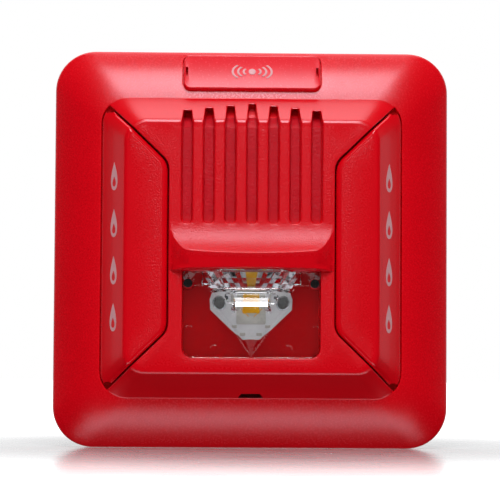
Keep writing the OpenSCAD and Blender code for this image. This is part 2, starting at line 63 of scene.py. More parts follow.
# ---------- shape of the moulding ----------

def dome(s):
    """Depth of the domed border at a distance s in from the rim."""
    u = s / DOME
    return 12.2 + 9.0 * (0.36 * u + 0.64 * (1 - (1 - u) ** 2))


def depth(s):
    """Depth of the plain moulding at a distance s in from the rim."""
    s = np.asarray(s, float)
    rho, w = 1.4, 0.22
    f0 = dome(0.47) - rho * math.sin(math.acos(1 - 0.47 / rho))
    edge = f0 + np.sqrt(np.maximum(rho ** 2 - (rho - np.minimum(s, 0.47)) ** 2, 0))
    m1, m2 = 0.36 * 9.0 / DOME, 0.86 * RISE / SLOPE
    x = s - (S1 - w)
    join = FOOT - m1 * w + m1 * x + (m2 - m1) * x ** 2 / (4 * w)
    v = (s - S1) / SLOPE
    strip = FOOT + RISE * (0.86 * v + 0.14 * v * v)
    a = np.arcsin(np.clip(math.sin(BEND_A) - (s - S2) / BEND_R, 0, 1))
    bend = FACE - BEND_R * (1 - np.cos(a))
    out = np.where(s < 0.47, edge, dome(s))
    out = np.where(s > S1 - w, join, out)
    out = np.where(s > S1 + w, strip, out)
    out = np.where(s > S2, bend, out)
    return np.where(s > S3, FACE, out)


def ring_dims(s):
    """Half width, half height and corner radius of the outline at s."""
    s = np.asarray(s, float)
    u = np.minimum(s, S1) / S1
    v = np.clip((s - S1) / SLOPE, 0, 1)
    over = np.maximum(s - S2, 0)
    inner = BLOCK - SLOPE * v - over
    hw = np.where(s < S1, RIM_W - s, inner)
    hh = np.where(s < S1, RIM_H + (BLOCK - RIM_H) * u, inner)
    r = np.where(s < S1, RIM_R + (BLOCK_R - RIM_R) * u, BLOCK_R - 1.4 * v - 0.45 * over)
    return hw, hh, r


def box_distance(p, hw, hh, r):
    """Distance outside a rounded box about the middle, less than zero inside it."""
    q = np.abs(p) - np.stack([hw - r, hh - r], -1)
    return np.hypot(*np.maximum(q, 0).T) + np.minimum(np.max(q, -1), 0) - r


def inward(p):
    """How far in from the rim each point lies, along the nested outlines."""
    lo, hi = np.zeros(len(p)), np.full(len(p), S3 + 0.5)
    for _ in range(26):
        mid = (lo + hi) / 2
        out = box_distance(p, *ring_dims(mid)) > 0
        lo, hi = np.where(out, lo, mid), np.where(out, mid, hi)
    return (lo + hi) / 2


def soft_min(a, b, k):
    """The smaller of a and b, rounded over where they differ by less than k."""
    h = np.maximum(k - np.abs(a - b), 0) / k
    return np.minimum(a, b) - h * h * k / 4


def hood_front(x, z):
    """How far the hood stands out of the face: a shallow bow with bevelled ends."""
    rise = soft_min(HOOD_RISE - 0.0028 * x ** 2, 0.84 * (28.03 - np.abs(x)), 1.0)
    return np.maximum(rise, 0.08) * (1 - 0.018 * (-1.2 - z))


def hood(x, z):
    """The hood with the scoop above it and its underside."""
    drop = np.clip(HOOD_TOP - z, 0, SCOOP_R)
    scoop = SCOOP_R - np.sqrt(SCOOP_R ** 2 - drop ** 2)
    out = soft_min(scoop, hood_front(x, z), 0.55)
    out = soft_min(out, (z - HOOD_LOW) / 0.21, 0.7)
    return np.where((np.abs(x) < HOOD_HALF) & (z < HOOD_TOP) & (z > HOOD_LOW), np.maximum(out, 0), 0)


def badge_plane(z):
    """Depth of the badge's tilted seat at the height z."""
    return BADGE_F - (z - BADGE_Z) * math.tan(BADGE_TILT)


# ---------- outlines, as anticlockwise loops in (x, z) ----------

def arc(cx, cz, r, a0, a1, n, rz=None):
    a = np.radians(np.linspace(a0, a1, n + 1))
    return np.stack([cx + r * np.cos(a), cz + (rz or r) * np.sin(a)], -1)


def rounded(hw, hh, r, n=10, cx=0.0, cz=0.0, rz=None):
    rz = rz or r
    return np.concatenate([arc(cx + sx * (hw - r), cz + sz * (hh - rz), r, a, a + 90, n, rz)
                           for sx, sz, a in ((1, 1, 0), (-1, 1, 90), (-1, -1, 180), (1, -1, 270))])


def ring_loop(s, n=16, side=24):
    """Outline at s, with points spread along its straight sides too."""
    hw, hh, r = (float(v) for v in ring_dims(s))
    corners = [arc(sx * (hw - r), sz * (hh - r), r, a, a + 90, n)
               for sx, sz, a in ((1, 1, 0), (-1, 1, 90), (-1, -1, 180), (1, -1, 270))]
    out = []
    for i, c in enumerate(corners):
        nxt = corners[(i + 1) % 4][0]
        out += [c, c[-1] + (nxt - c[-1]) * np.linspace(0, 1, side + 1)[1:-1, None]]
    return np.concatenate(out)


def area(loop):
    x, z = loop.T
    return 0.5 * np.sum(x * np.roll(z, -1) - np.roll(x, -1) * z)


def normals_of(loop):
    """Outward normals at the points, longer at corners, so that every side moves by the same distance."""
    e = np.roll(loop, -1, 0) - loop
    n = np.stack([e[:, 1], -e[:, 0]], -1)
    n /= np.maximum(np.linalg.norm(n, axis=1, keepdims=True), 1e-12)
    m = n + np.roll(n, 1, 0)
    m /= np.maximum(np.linalg.norm(m, axis=1, keepdims=True), 1e-9)
    return m / np.maximum(np.sum(m * n, 1, keepdims=True), 0.35)


def grown(loop, d):
    """The loop moved outwards by d."""
    return loop + normals_of(loop) * d


def dense(loop, step):
    """The same loop with extra points, so that no edge is longer than step."""
    out = []
    for a, b in zip(loop, np.roll(loop, -1, 0)):
        n = max(1, int(np.ceil(np.linalg.norm(b - a) / step)))
        out.append(a + (b - a) * np.linspace(0, 1, n, endpoint=False)[:, None])
    return np.concatenate(out)


def inside(p, loop):
    """Which of the points lie inside a closed loop."""
    a, b = loop, np.roll(loop, -1, 0)
    hit = np.zeros(len(p), bool)
    for (x0, z0), (x1, z1) in zip(a, b):
        if z0 == z1:
            continue
        spans = (z0 > p[:, 1]) != (z1 > p[:, 1])
        hit ^= spans & (p[:, 0] < (x1 - x0) * (p[:, 1] - z0) / (z1 - z0) + x0)
    return hit


def distance(p, loop):
    """Distance from each point to a closed loop; points more than 3 mm outside its box get a large number."""
    best = np.full(len(p), 1e9)
    near = np.where(np.all((p > loop.min(0) - 3) & (p < loop.max(0) + 3), 1))[0]
    q = p[near]
    found = np.full(len(q), 1e9)
    for p0, p1 in zip(loop, np.roll(loop, -1, 0)):
        e = p1 - p0
        t = np.clip((q - p0) @ e / max(e @ e, 1e-12), 0, 1)
        found = np.minimum(found, np.hypot(*(q - (p0 + t[:, None] * e)).T))
    best[near] = found
    return best


def side_outline(edge, back, out_half, out_r, r=6.8, lean=0.967, turn_z=28.6):
    """Right-hand side panel: upright inner edge, rounded turns, slanting edges, the block's outline."""
    turn = math.atan(lean)
    z = turn_z + back
    t = r * math.tan((math.pi / 2 - turn) / 2)
    c = np.array([edge + r, z - t])
    corner = arc(c[0], c[1], r, 180, 90 + math.degrees(turn), 10)
    start = corner[-1]
    # walk out along the slant until it meets the block's outline
    ks = np.linspace(0, 40, 8001)
    line = start + ks[:, None] * np.array([math.cos(turn), math.sin(turn)])
    d = box_distance(line, *[np.full(len(ks), q) for q in (out_half, out_half, out_r)])
    tip = line[np.argmax(d > 0)]
    centre = np.array([out_half - out_r] * 2)
    a = math.degrees(math.atan2(tip[1] - centre[1], tip[0] - centre[0]))
    curve = arc(centre[0], centre[1], out_r, a, 0, 10)
    upper = np.concatenate([corner, curve])
    lower = upper[::-1] * np.array([1, -1])
    loop = np.concatenate([upper, lower])
    return loop[::-1] if area(loop) < 0 else loop


def flipped(loop):
    return (loop * np.array([-1, 1]))[::-1]


def slot_outline(i):
    """Sound slot i of seven: round at the bottom, with sides that draw in from the shoulder to the top."""
    x = (i - 3) * 7.4
    top = 49.7 - 0.85 * abs(i - 3)
    half, r, low, shoulder = 1.93, 1.55, 7.9, 42.6
    neck = 1.45 - 0.08 * (3 - abs(i - 3))
    pts = np.concatenate([arc(half - r, low + r, r, -90, 0, 8), [[half, shoulder]],
                          arc(neck - 0.5, top - 0.5, 0.5, 15, 90, 4),
                          arc(0.5 - neck, top - 0.5, 0.5, 90, 165, 4),
                          [[-half, shoulder]], arc(r - half, low + r, r, 180, 270, 8)])
    return pts + [x, 0]


POCKET = side_outline(28.35, 0.32, 51.95, 9.35, 6.4)
PANEL = side_outline(28.85, -0.02, 51.55, 8.95, 6.9)
SLOTS = [slot_outline(i) for i in range(7)]
WINDOW_LOW = -38.1
WINDOW = rounded(23.6, (HOOD_LOW - WINDOW_LOW) / 2, 3.8, 10, 0, (HOOD_LOW + WINDOW_LOW) / 2)
WINDOW[:, 1] = np.minimum(WINDOW[:, 1], HOOD_LOW)
_top = WINDOW[:, 1] > HOOD_LOW - 3.81
WINDOW = np.concatenate([[[23.6, HOOD_LOW], [-23.6, HOOD_LOW]], WINDOW[~_top]])
BADGE = rounded(24.0, 7.45 * math.cos(BADGE_TILT), 2.6, 8, 0, BADGE_Z, 2.6 * math.cos(BADGE_TILT))
TOOL = np.array([[-3.2, -50.2], [-4.3, -51.6], [4.3, -51.6], [3.2, -50.2]])
# holes in the floors of the lens well and the panel pockets: light source, its screws, and the panels' clips
OPENINGS = ([rounded(7.3, 8.75, 1.5, 5, 0, -19.45)]
            + [arc(x, -19, 0.95, 0, 360, 20)[:-1] for x in (-10.8, 10.8)]
            + [rounded(1.1, 3.2, 0.4, 3, sx * x, z) for sx in (1, -1) for x, z in
               ((50.4, 28), (50.4, -28), (29.8, 15), (29.8, -15))])


# ---------- meshing ----------

def triangulate(loops, lines=()):
    """Delaunay triangles over closed loops and open lines, every one of them kept as edges."""
    pts, edges = [], []
    for closed, group in ((True, loops), (False, lines)):
        for g in group:
            n0, n = len(pts), len(g)
            pts += [Vector((float(x), float(z))) for x, z in g]
            edges += [(n0 + i, n0 + (i + 1) % n) for i in range(n if closed else n - 1)]
    v, _, f, _, _, _ = delaunay_2d_cdt(pts, edges, [], 0, 1e-5)
    v = np.array([(p.x, p.y) for p in v])
    tri = []
    for face in f:
        for k in range(1, len(face) - 1):
            tri.append((face[0], face[k], face[k + 1]))
    tri = np.array(tri)
    a, b, c = v[tri[:, 0]], v[tri[:, 1]], v[tri[:, 2]]
    twice = (b[:, 0] - a[:, 0]) * (c[:, 1] - a[:, 1]) - (c[:, 0] - a[:, 0]) * (b[:, 1] - a[:, 1])
    tri[twice < 0] = tri[twice < 0][:, ::-1]
    return v, tri[np.abs(twice) > 1e-9]


def rim_of(tri):
    """Directed edges that belong to one triangle only."""
    e = np.concatenate([tri[:, [0, 1]], tri[:, [1, 2]], tri[:, [2, 0]]])
    known = set(map(tuple, e.tolist()))
    return [(a, b) for a, b in e.tolist() if (b, a) not in known]


class Builder:
    """Collects points (x, f, z) and faces, then makes one mesh object."""

    def __init__(self):
        self.v, self.f = [], []

    def points(self, xz, f):
        n0 = len(self.v)
        f = np.broadcast_to(f, (len(xz),))
        self.v += [(x, -d, z) for (x, z), d in zip(xz.tolist(), f.tolist())]
        return n0

    def tris(self, tri, n0, back=False):
        t = tri[:, ::-1] if back else tri
        self.f += [tuple(int(i) + n0 for i in row) for row in t]

    def walls(self, edges, n_front, n_back):
        for a, b in edges:
            self.f.append((b + n_front, a + n_front, a + n_back, b + n_back))

    def loop(self, loop, f):
        return self.points(np.asarray(loop, float), f)

    def skin(self, n, a, b):
        """Quads between two loops of n points; the first lies further forward or out."""
        for i in range(n):
            j = (i + 1) % n
            self.f.append((a + j, a + i, b + i, b + j))

    def make(self, name, smooth=35, place=None):
        mesh = bpy.data.meshes.new(name)
        v = np.array(self.v) * MM
        mesh.from_pydata(v.tolist(), [], self.f)
        obj = bpy.data.objects.new(name, mesh)
        bpy.context.scene.collection.objects.link(obj)
        if place is not None:
            mesh.transform(place)
        clean(obj, smooth)
        return obj


def clean(obj, smooth=35):
    bm = bmesh.new()
    bm.from_mesh(obj.data)
    bmesh.ops.remove_doubles(bm, verts=bm.verts, dist=2e-6)
    bmesh.ops.dissolve_degenerate(bm, edges=bm.edges, dist=1e-7)
    loose = [v for v in bm.verts if not v.link_faces]
    bmesh.ops.delete(bm, geom=loose, context="VERTS")
    bmesh.ops.recalc_face_normals(bm, faces=bm.faces)
    for f in bm.faces:
        f.smooth = True
    bm.to_mesh(obj.data)
    bm.free()
    obj.data.set_sharp_from_angle(angle=math.radians(smooth))


def roll_off(d, r):
    """Drop of a rounded edge at a distance d in from it."""
    return r - np.sqrt(np.maximum(r * r - np.maximum(r - d, 0) ** 2, 0))


def edge_steps(r, n=4):
    """Distances in from an edge of radius r at which the mesh follows its rounding."""
    return [r * (1 - math.cos(math.radians(90 * k / n))) for k in range(1, n + 1)]


# distances in from the rim at which the cover's mesh has a ring of edges
RINGS = ([0, 0.04, 0.13, 0.28, 0.47] + list(np.linspace(1.0, S1 - 0.22, 18))
         + [S1 - 0.1, S1, S1 + 0.1, S1 + 0.22] + list(np.linspace(S1 + 2, S2 - 0.02, 4))
         + list(S2 + (S3 - S2) * np.linspace(0.12, 1, 8)))


def hood_rows():
    """Lines of mesh edges along the scoop, the hood's crest and its lower edge."""
    xs = np.linspace(-28.6, 28.6, 45)
    rise = hood_front(xs, np.full_like(xs, 0.0))
    crest = HOOD_TOP - np.sqrt(np.maximum(SCOOP_R ** 2 - (SCOOP_R - rise) ** 2, 0))
    low = HOOD_LOW + 0.21 * hood_front(xs, np.full_like(xs, -8.0))
    rows = []
    for k in (0, 0.06, 0.15, 0.28, 0.42, 0.56, 0.7, 0.82, 0.92):
        rows.append(HOOD_TOP + (crest + 0.35 - HOOD_TOP) * k)
    for k in (0.35, 0.24, 0.13, 0.02, -0.1, -0.22, -0.36):
        rows.append(crest + k)
    for k in (0.3, 0.65):
        rows.append(crest - 0.36 + (low + 0.36 - crest) * k)
    for k in (0.2, 0.13, 0.06, 0, -0.06, -0.14):
        rows.append(low + k * np.minimum(1, (low - HOOD_LOW) * 4))
    rows.append((low + HOOD_LOW) / 2 - 0.05)
    rows.append(np.full_like(xs, HOOD_LOW))
    return [np.stack([xs, z], -1) for z in rows]


def build_cover():
    """Front moulding: one height map with pockets, slots and openings, over a back at an even thickness."""
    pockets = [POCKET, flipped(POCKET)]
    blind = [(p, lambda q: np.full(len(q), TUB), 0.32) for p in pockets]
    blind += [(WINDOW, lambda q: np.full(len(q), WELL), 0.3),
              (BADGE, lambda q: badge_plane(q[:, 1]) - 1.9 / math.cos(BADGE_TILT), 0.3),
              (TOOL, lambda q: np.full(len(q), 14.0), 0.15)]
    through = [(s, 0.42) for s in SLOTS]
    loops = [ring_loop(s) for s in RINGS] + [ring_loop(RIM_WALL)]
    for loop, r in [(loop, r) for loop, _, r in blind] + through:
        loop = dense(loop, 3.0)
        loops.append(loop)
        loops += [grown(loop, d) for d in edge_steps(r)]
    for loop in (POCKET, flipped(POCKET), WINDOW):
        loops += [grown(dense(loop, 3.0), d) for d in (1.8, 2.1)]
    v, tri = triangulate(loops + OPENINGS, hood_rows())
    s = inward(v)
    h = depth(s) + hood(v[:, 0], v[:, 1])
    thick = np.where(s > S1, BLOCK_T, RIM_T)
    hb = depth(s) - thick
    for loop, floor, r in blind:
        d = distance(v, loop)
        d_in = np.where(inside(v, loop), 0, d)
        h = h - roll_off(d_in, r) * (d_in < r)
        hb = np.where(d_in < 1.85, np.minimum(hb, floor(v) - FLOOR_T), hb)
    # the slots' walls draw in towards the back
    drafts = np.zeros_like(v)
    for loop, r in through:
        d = distance(v, loop)
        d_in = np.where(inside(v, loop), 0, d)
        h = h - roll_off(d_in, r) * (d_in < r)
        side = np.zeros_like(v)
        side[:, 0] = -np.clip((v[:, 0] - loop[:, 0].mean()) / 1.5, -1, 1) * 0.46
        side[:, 1] = np.where(v[:, 1] < 12, 0.46 * np.clip((9.5 - v[:, 1]) / 1.5, 0, 1), 0)
        drafts = np.where((d < 1e-3)[:, None], side, drafts)
    mid = (v[tri[:, 0]] + v[tri[:, 1]] + v[tri[:, 2]]) / 3
    body = box_distance(mid, *[np.full(len(mid), q) for q in (RIM_W, RIM_H, RIM_R)]) < 0
    tri, mid = tri[body], mid[body]
    open_t = np.zeros(len(tri), bool)
    for loop, _ in through:
        open_t |= inside(mid, loop)
    holes = np.zeros(len(tri), bool)
    for loop in OPENINGS:
        holes |= inside(mid, loop)
    b = Builder()
    n_f = b.points(v, h)
    n_b = b.points(v + drafts, hb)
    front = ~open_t
    for loop, floor, _ in blind:
        here = inside(mid, loop)
        front &= ~here
        n = b.points(v, floor(v))
        b.tris(tri[here & ~holes], n)
        b.walls([(q, p) for p, q in rim_of(tri[here])], n_f, n)
        b.walls([(q, p) for p, q in rim_of(tri[here & holes])], n, n_b)
    b.tris(tri[front], n_f)
    in_back = box_distance(mid, *[np.full(len(mid), float(q)) for q in ring_dims(RIM_WALL)]) < 0
    back = tri[in_back & ~open_t & ~holes]
    b.tris(back, n_b, back=True)
    for loop, _ in through:
        here = inside(mid, loop)
        b.walls([(q, p) for p, q in rim_of(tri[here])], n_f, n_b)
    # rim: down the side, across the back edge and up the inside
    n_low = b.points(v, RIM_BACK)
    b.walls(rim_of(tri), n_f, n_low)
    b.walls([(q, p) for p, q in rim_of(tri[in_back])], n_b, n_low)
    b.tris(tri[~in_back], n_low, back=True)
    return b


cover = build_cover().make("front_cover_moulding", 34)
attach(cover, "head")
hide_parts("front_cover")


def turned(b, x, z, profile, n=32):
    """A ring shape turned about an axis that points forward, from (radius, f) pairs."""
    rings = [b.loop(arc(x, z, r, 0, 360, n)[:-1], f) for r, f in profile]
    for inner, outer in zip(rings, rings[1:] + rings[:1]):
        b.skin(n, inner, outer)


# bosses for the four screws that hold the rear cover
bosses = Builder()
for bx, bz in ((1, 1), (-1, 1), (-1, -1), (1, -1)):
    turned(bosses, 36.0 * bx, 44.0 * bz, ((3.2, 24.5), (3.2, 9.0), (2.9, 8.6), (1.5, 8.6), (1.25, 8.9),
                                          (1.25, 24.3)))
boss_piece = bosses.make("cover_screw_bosses", 40)
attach(boss_piece, "head")

# floor of the sound slots' tops, which carries on the slope of the baffle's ribs
end_wall = Builder()
section = [(22.3, 44.3), (21.1, 46.2), (20.2, 47.6), (19.8, 49.0), (19.9, 50.3), (18.2, 50.5), (17.6, 49.4),
           (17.8, 47.6), (20.4, 43.9)]
mid_f, mid_z = 19.8, 47.4
# at both ends the section is drawn in towards its middle
for x, size in ((-25.6, 0.82), (-25.2, 1.0), (25.2, 1.0), (25.6, 0.82)):
    end_wall.v += [(x, -(mid_f + (f - mid_f) * size), mid_z + (z - mid_z) * size) for f, z in section]
n_s = len(section)
for k in range(3):
    for i in range(n_s):
        j = (i + 1) % n_s
        end_wall.f.append((k * n_s + i, k * n_s + j, (k + 1) * n_s + j, (k + 1) * n_s + i))
end_wall.f.append(tuple(reversed(range(n_s))))
end_wall.f.append(tuple(3 * n_s + i for i in range(n_s)))
slot_wall = end_wall.make("slot_end_wall", 40)
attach(slot_wall, "head")


# ---------- side panels ----------

def grain_of(v):
    """Where the moulding texture is: the flat face has all of it, the frame some, rolled edges none."""
    s = inward(v[:, [0, 2]])
    flat = np.clip((s - S3) / 0.5, 0, 1) * (v[:, 1] < 0.4 - FACE)
    frame_part = 0.30 * np.clip((s - 0.4) / 1.5, 0, 1) * (s < S1 - 0.2)
    hood_part = ((np.abs(v[:, 0]) < HOOD_HALF) & (v[:, 2] < -2.6) & (v[:, 2] > HOOD_LOW - 0.5)
                 & (v[:, 1] < -FACE - 0.3))
    return np.where(hood_part, 0.0, np.maximum(flat, frame_part))


def panel_grain(v):
    """The panel's inner edge is polished, which a negative value says."""
    d = distance(v[:, [0, 2]], PANEL)
    edge = np.clip((1.7 - d) / 0.3, 0, 1) * (np.abs(v[:, 0]) < 49.0)
    return grain_of(v) * (1 - edge) - 0.8 * edge


def set_grain(obj, fn):
    """Stores fn of the points, in mm, as the mesh's grain attribute."""
    v = np.empty(len(obj.data.vertices) * 3)
    obj.data.vertices.foreach_get("co", v)
    v = v.reshape(-1, 3) / MM
    g = fn(v)
    at = obj.data.attributes.new("grain", "FLOAT", "POINT")
    at.data.foreach_set("value", g.astype(np.float32))


def build_panel():
    """Side panel with rolled edges, carrying on the block's own height map."""
    roll = 1.35
    tips = [arc(49.0, z, 2.3, 0, 360, 28)[:-1] for z in (48.6, -48.6)]
    loop = dense(PANEL, 2.5)
    loops = [loop] + tips
    offs = edge_steps(roll, 7)
    loops += [grown(loop, -d) for d in offs] + [grown(loop, -d) for d in (1.8, 4.0)]
    loops += [ring_loop(s) for s in RINGS if s > S1 - 0.3]
    v, tri = triangulate(loops)
    mid = (v[tri[:, 0]] + v[tri[:, 1]] + v[tri[:, 2]]) / 3
    keep = inside(mid, PANEL)
    for t in tips:
        keep &= ~inside(mid, t)
    tri = tri[keep]
    d = distance(v, PANEL)
    mid = (v[tri[:, 0]] + v[tri[:, 1]] + v[tri[:, 2]]) / 3
    dm = distance(mid, PANEL)
    outer = np.clip((np.max(np.abs(v), 1) - 49.5) / 1.0, 0, 1)
    outer = outer * (np.abs(v[:, 1]) < 46) + (np.abs(v[:, 1]) >= 46)
    r = roll + (0.35 - roll) * outer
    h = depth(np.maximum(inward(v), S1 + 0.3)) - 0.06 - np.where(d < r, roll_off(np.minimum(d, r), r), 0)
    core = dm > 1.8
    b = Builder()
    n_f = b.points(v, h)
    b.tris(tri, n_f)
    n_low = b.points(v, TUB + 0.15)
    b.walls([(p, q) for p, q in rim_of(tri)], n_f, n_low)
    n_b = b.points(v, depth(inward(v)) - 2.0)
    b.tris(tri[core], n_b, back=True)
    b.tris(tri[~core], n_low, back=True)
    b.walls([(q, p) for p, q in rim_of(tri[core])], n_b, n_low)
    return b


def clip_mesh(b, x, z, out):
    """A snap clip on the panel's foot: a tapered tongue with a small hook."""
    prof = [(-0.7, 21.0), (-0.7, 17.2), (-0.35, 15.9), (0.5, 15.9), (0.8, 17.0), (0.8, 17.6), (0.45, 17.9),
            (0.6, 21.0)]
    n, low = len(prof), len(b.v)
    top = low + n
    for end in (z - 3, z + 3):
        b.v += [(x + out * dx, -f, end) for dx, f in prof]
    for i in range(n):
        j = (i + 1) % n
        b.f.append((low + i, low + j, top + j, top + i))
    b.f.append(tuple(low + i for i in range(n)))
    b.f.append(tuple(top + i for i in reversed(range(n))))


def mirrored_copy(obj, name):
    """The same mesh on the left-hand side."""
    mesh = obj.data.copy()
    mesh.transform(Matrix.Scale(-1, 4, (1, 0, 0)))
    mesh.flip_normals()
    new = bpy.data.objects.new(name, mesh)
    bpy.context.scene.collection.objects.link(new)
    return new


right_panel = build_panel().make("right_side_panel", 30)
clips = Builder()
for z in (-28, 28):
    clip_mesh(clips, 50.4, z, 1)
for z in (-15, 15):
    clip_mesh(clips, 29.8, z, -1)
right_clips = clips.make("right_panel_clips", 25)
set_grain(right_panel, panel_grain)
set_grain(cover, grain_of)
left_panel = mirrored_copy(right_panel, "left_side_panel")
left_clips = mirrored_copy(right_clips, "left_panel_clips")


def build_marks():
    """Four plain teardrop marks on the panel's sloping edge, where the object has printed lettering."""
    b = Builder()
    cx = 47.25
    for cz in (24.2, 8.1, -8.1, -24.2):
        t = np.linspace(0, 2 * math.pi, 41)[:-1]
        half = 1.55 * np.sin(t) * (0.5 - 0.5 * np.cos(t)) ** 0.55
        drop = np.stack([cx + half, cz + 4.9 * np.cos(t)], -1)
        if area(drop) < 0:
            drop = drop[::-1]
        hole = np.stack([cx + 0.5 * (drop[:, 0] - cx), cz - 1.9 + 0.36 * (drop[:, 1] - cz)], -1)
        v, tri = triangulate([dense(drop, 0.5), dense(hole, 0.5)])
        mid = (v[tri[:, 0]] + v[tri[:, 1]] + v[tri[:, 2]]) / 3
        tri = tri[inside(mid, drop) & ~inside(mid, hole)]
        h = depth(inward(v)) - 0.06
        n_f, n_b = b.points(v, h + 0.05), b.points(v, h - 0.08)
        b.tris(tri, n_f)
        b.tris(tri, n_b, back=True)
        b.walls(rim_of(tri), n_f, n_b)
    return b


right_marks = build_marks().make("right_panel_marks", 40)
left_marks = mirrored_copy(right_marks, "left_panel_marks")
for side, panel, clips, marks in (("right", right_panel, right_clips, right_marks),
                                  ("left", left_panel, left_clips, left_marks)):
    for o in (panel, clips, marks):
        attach(o, side + "_panel")
    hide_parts(side + "_legend_panel")


# ---------- badge ----------

def badge_place():
    """Puts shapes drawn flat onto the tilted seat in the top of the rim."""
    n = Vector((0, -math.cos(PLATE_TILT), math.sin(PLATE_TILT)))
    up = Vector((0, math.sin(PLATE_TILT), math.cos(PLATE_TILT)))
    m = Matrix.Identity(4)
    for r in range(3):
        m[r][0], m[r][1], m[r][2] = (1, 0, 0)[r], -n[r], up[r]
    return Matrix.Translation(Vector((0, -PLATE_F, BADGE_Z)) * MM) @ m


def plate(b, loop, f_back, height, r, extra=(), raised=()):
    """A flat plate with rounded front edges; raised outlines stand 0.25 proud with sloped sides."""
    loops = [loop] + [grown(loop, -d) for d in edge_steps(r, 5)] + list(extra)
    for g in raised:
        loops += [g, grown(g, -0.14)]
    v, tri = triangulate(loops)
    mid = (v[tri[:, 0]] + v[tri[:, 1]] + v[tri[:, 2]]) / 3
    keep = inside(mid, loop)
    for g in extra:
        keep &= ~inside(mid, g)
    tri = tri[keep]
    d = distance(v, loop)
    h = height - np.where(d < r, roll_off(np.minimum(d, r), r), 0)
    for g in extra:
        de = distance(v, g)
        h = h - 0.12 * (de < 1e-3)
    for g in raised:
        dg = distance(v, g)
        h = h + 0.26 * np.where(inside(v, g), np.clip(dg / 0.14, 0, 1), 0)
    n_f, n_b = b.points(v, h), b.points(v, f_back)
    b.tris(tri, n_f)
    b.tris(tri, n_b, back=True)
    b.walls(rim_of(tri), n_f, n_b)


def box_loop(x0, x1, z0, z1):
    return np.array([[x0, z0], [x1, z0], [x1, z1], [x0, z1]])


def band(cx, cz, r0, r1, a0, a1, n=14):
    """Part of a flat ring, between two radii and two angles."""
    return np.concatenate([arc(cx, cz, r1, a0, a1, n), arc(cx, cz, r0, a1, a0, n)])


badge_b = Builder()
notches = [box_loop(sx * 22.65 - 0.42, sx * 22.65 + 0.42, -2.1, 2.1) for sx in (1, -1)]
plate(badge_b, rounded(23.7, 7.2, 2.4, 10), -1.5, 0.4, 0.45, notches)
badge = badge_b.make("badge_plate_moulding", 30, badge_place())
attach(badge, "head")
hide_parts("badge_plate")
# the emblem takes the pale pink of the panel marks: a painted highlight on its raised relief
emblem_b = Builder()
for shape in ([arc(0, 0, 1.25, 0, 360, 28)[:-1]]
              + [band(0, 0, r, r + 0.75, a - 42, a + 42) for r in (2.6, 4.5, 6.4) for a in (0, 180)]):
    shape = shape * [1.0, 0.62 if len(shape) > 28 else 1.0]
    plate(emblem_b, shape, 0.35, 0.62, 0.12)
emblem = emblem_b.make("badge_sound_mark", 30, badge_place())
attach(emblem, "head")


# ---------- lens ----------

def prow_height(x, z):
    """Front of the clear window: a flat flange with a faceted prow."""
    ax = np.abs(x)
    front = np.clip(11 - 2 * (-8.65 - z) / 5.55, 9, 11.2)
    base = np.where(z > -10, 18, 18 - 3.2 * (-10 - z) / 5.5)
    one = soft_min(33.8 + 0 * x, 33.8 - 6.3 * (ax - front) / np.maximum(base - front, 0.5), 0.25)
    one = soft_min(one, 33.8 - 6.3 * (-14.2 - z) / 1.5, 0.25)
    front = np.where(z > -19, 5.5 + 1.5 * (z + 19) / 5, np.clip(0.6 + 4.9 * (z + 24) / 5, 0.6, 5.5))
    base = np.where(z > -20.6, 14.8, 14.8 - 13.4 * (-20.6 - z) / 15.4)
    ridge = np.where(z > -24, 32, np.maximum(32 - 2.6 * (-24 - z) / 12, 27.5))
    two = 27.5 + (ridge - 27.5) * np.minimum(1, 1 - (ax - front) / np.maximum(base - front, 0.3))
    two = np.where(z > -13.6, 0, two)
    bar = np.minimum(32.0 - 0.33 * (z + 17.2), 33.0 + 1.1 * (z + 20.1))
    bar = np.where((z < -16.9) & (z > -21.2), bar, 0)
    bar = np.minimum(bar, 33.6 - 3.5 * np.maximum(ax - 5.4, 0))
    two = np.maximum(two, np.where(ax < 6.6, bar, 0))
    # low stepped wings beside the prow
    reach = 22.6 - 1.4 * np.maximum(-9.4 - z, 0) / 4
    wing = np.minimum(30.2 - 0.5 * np.floor((ax - 14.5) / 2.3), 28.6 + 2.2 * np.minimum(reach - ax, z + 13.4))
    one = np.maximum(one, np.where(ax < 23.0, wing, 0))
    return -soft_min(-np.maximum(one, two), -28.6 + 0 * x, 0.12)


